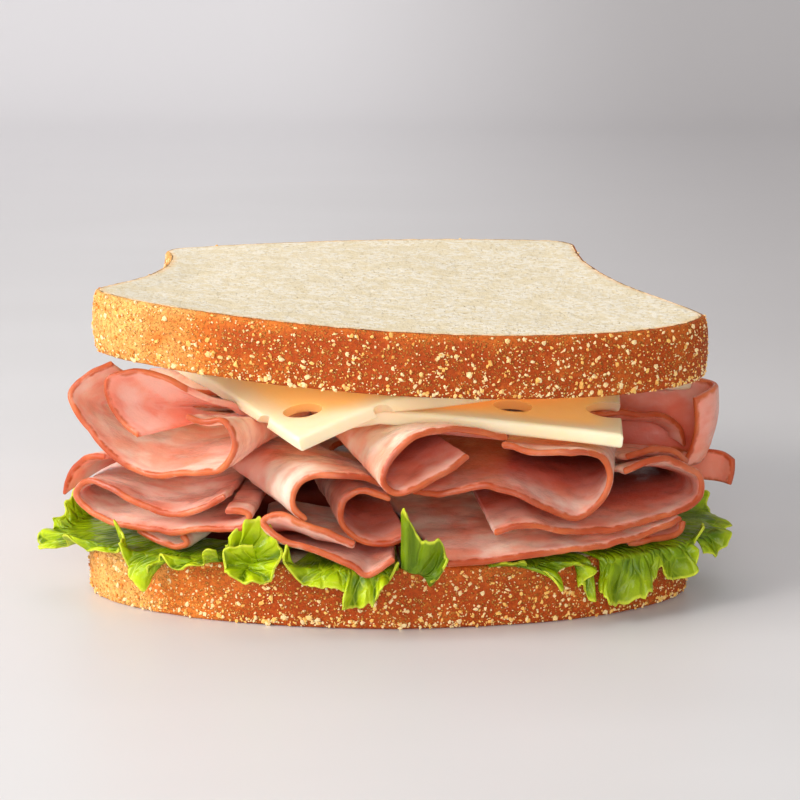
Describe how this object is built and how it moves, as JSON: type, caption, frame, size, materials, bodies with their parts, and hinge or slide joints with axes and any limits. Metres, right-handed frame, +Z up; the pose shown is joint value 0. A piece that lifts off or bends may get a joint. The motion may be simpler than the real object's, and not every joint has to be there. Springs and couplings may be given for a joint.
{
  "type": "ham and cheese sandwich",
  "caption": "Sandwich of crusted white bread slices that hold a pile of folded ham slices, holed cheese and frilled leaf lettuce.",
  "frame": {"origin": "centre of the lower bread slice's underside, on the surface that the sandwich rests on", "axes": "+X to the right along the wide crown of the slices, +Y away from a person who looks at the crowns, +Z up"},
  "size_m": [0.1572, 0.1273, 0.0693],
  "materials": {
    "bread": "baked crust with cornmeal grits, open white crumb on the cut faces",
    "ham": "moist pink sliced ham with an orange-brown rind along its edges",
    "cheese": "smooth pale yellow sliced cheese with a soft sheen",
    "lettuce": "fresh green leaf with a light frill"
  },
  "bodies": {
    "root": {"bread_lower": "bread", "bread_upper": "bread", "cheese_upper": "cheese", "cheese_lower": "cheese", "ham_left_channel": "ham", "ham_left_taco": "ham", "ham_left_roll": "ham", "ham_left_flap": "ham", "ham_low_pleat": "ham", "ham_mid_arch": "ham", "ham_mid_roll": "ham", "ham_front_lip": "ham", "ham_centre_tube": "ham", "ham_right_upper": "ham", "ham_right_lower": "ham", "ham_front_sheet": "ham", "ham_low_right": "ham", "ham_far_arch": "ham", "ham_right_strip": "ham", "ham_right_flap": "ham", "ham_right_tip": "ham", "ham_rear_1_1": "ham", "ham_rear_1_2": "ham", "ham_rear_1_3": "ham", "ham_rear_1_4": "ham", "ham_rear_1_5": "ham", "ham_rear_2_1": "ham", "ham_rear_2_2": "ham", "ham_rear_2_3": "ham", "ham_rear_2_4": "ham", "ham_rear_2_5": "ham", "ham_rear_3_1": "ham", "ham_rear_3_2": "ham", "ham_rear_3_3": "ham", "ham_rear_3_4": "ham", "ham_rear_3_5": "ham", "lettuce_left": "lettuce", "lettuce_fold": "lettuce", "lettuce_cluster": "lettuce", "lettuce_front": "lettuce", "lettuce_curl": "lettuce", "lettuce_right": "lettuce", "lettuce_right_front": "lettuce", "lettuce_right_back": "lettuce", "lettuce_rear_right": "lettuce", "lettuce_rear_left": "lettuce"}
  },
  "joints": []
}
